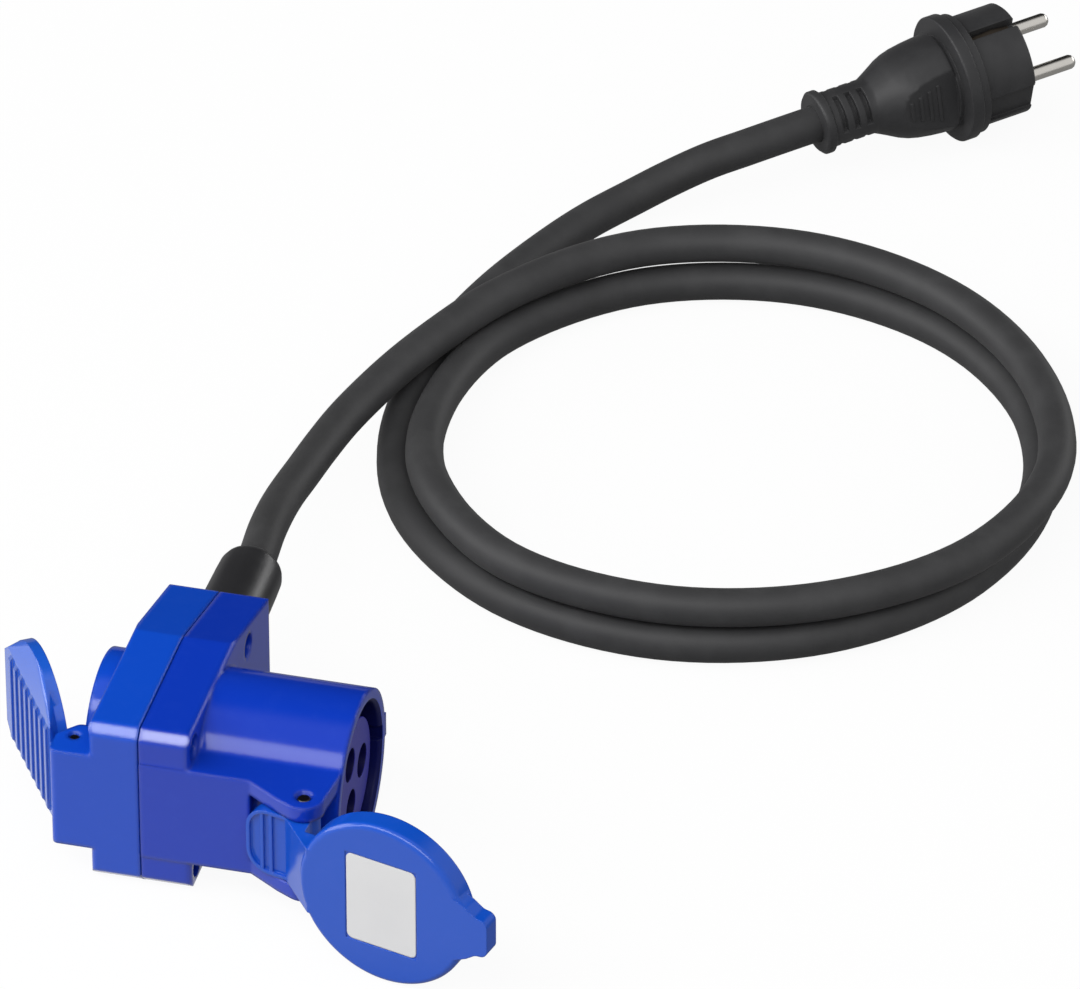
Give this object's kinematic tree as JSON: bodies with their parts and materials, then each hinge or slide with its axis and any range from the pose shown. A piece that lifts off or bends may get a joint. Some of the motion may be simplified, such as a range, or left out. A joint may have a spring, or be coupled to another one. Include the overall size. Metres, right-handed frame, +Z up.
{
  "type": "power adapter cable",
  "caption": "Rubber mains lead with a moulded plug and a blue angled coupling that has a lidded round connector and a lidded outlet",
  "frame": {"origin": "on the floor under the coupling's seam, below the round connector's axis", "axes": "+X out of the round connector, +Y towards the cable boot, +Z up from the flat side the coupling lies on"},
  "size_m": [0.2851, 0.5271, 0.056],
  "materials": {
    "blue_shell": "glossy moulded nylon",
    "blue_lid": "glossy moulded nylon",
    "carrier": "satin moulded plastic",
    "brass": "turned brass",
    "nickel": "nickel plated brass",
    "steel": "zinc plated steel",
    "seal_rubber": "matt moulded rubber",
    "cord_rubber": "matt rubber sheath",
    "plug_rubber": "matt moulded rubber",
    "plug_hard": "hard moulded plastic",
    "label": "blank satin film",
    "brown_wire": "core insulation",
    "blue_wire": "core insulation",
    "green_wire": "core insulation"
  },
  "bodies": {
    "coupling": {"front_shell": "blue_shell", "rear_shell": "blue_shell", "housing_screws": "steel", "connector_insert": "carrier", "connector_line_sleeve": "brass", "connector_neutral_sleeve": "brass", "connector_earth_sleeve": "brass", "outlet_insert": "carrier", "outlet_line_contact": "brass", "outlet_neutral_contact": "brass", "outlet_earth_strap": "nickel", "connector_lid_pin": "steel", "outlet_lid_pin": "steel", "cable_boot": "seal_rubber", "cord_clamp": "carrier", "cord_clamp_screws": "steel", "line_wires": "brown_wire", "neutral_wires": "blue_wire", "earth_wire": "green_wire", "cord": "cord_rubber", "plug_body": "plug_rubber", "plug_bridge": "plug_hard", "plug_line_pin": "nickel", "plug_neutral_pin": "nickel", "plug_earth_strip": "brass"},
    "connector_lid": {"connector_lid": "blue_lid", "connector_lid_seal": "seal_rubber", "rating_label": "label"},
    "outlet_lid": {"outlet_lid": "blue_lid", "outlet_lid_seal": "seal_rubber"}
  },
  "joints": [
    {"name": "connector_lid_hinge", "type": "hinge", "parent": "coupling", "child": "connector_lid", "pos_m": [0.0515, -0.0346, 0.028], "axis": [0, 0, 1], "range_deg": [0, 104.6]},
    {"name": "outlet_lid_hinge", "type": "hinge", "parent": "coupling", "child": "outlet_lid", "pos_m": [-0.022, -0.0221, 0.028], "axis": [0, 0, 1], "range_deg": [-33, 62]}
  ]
}
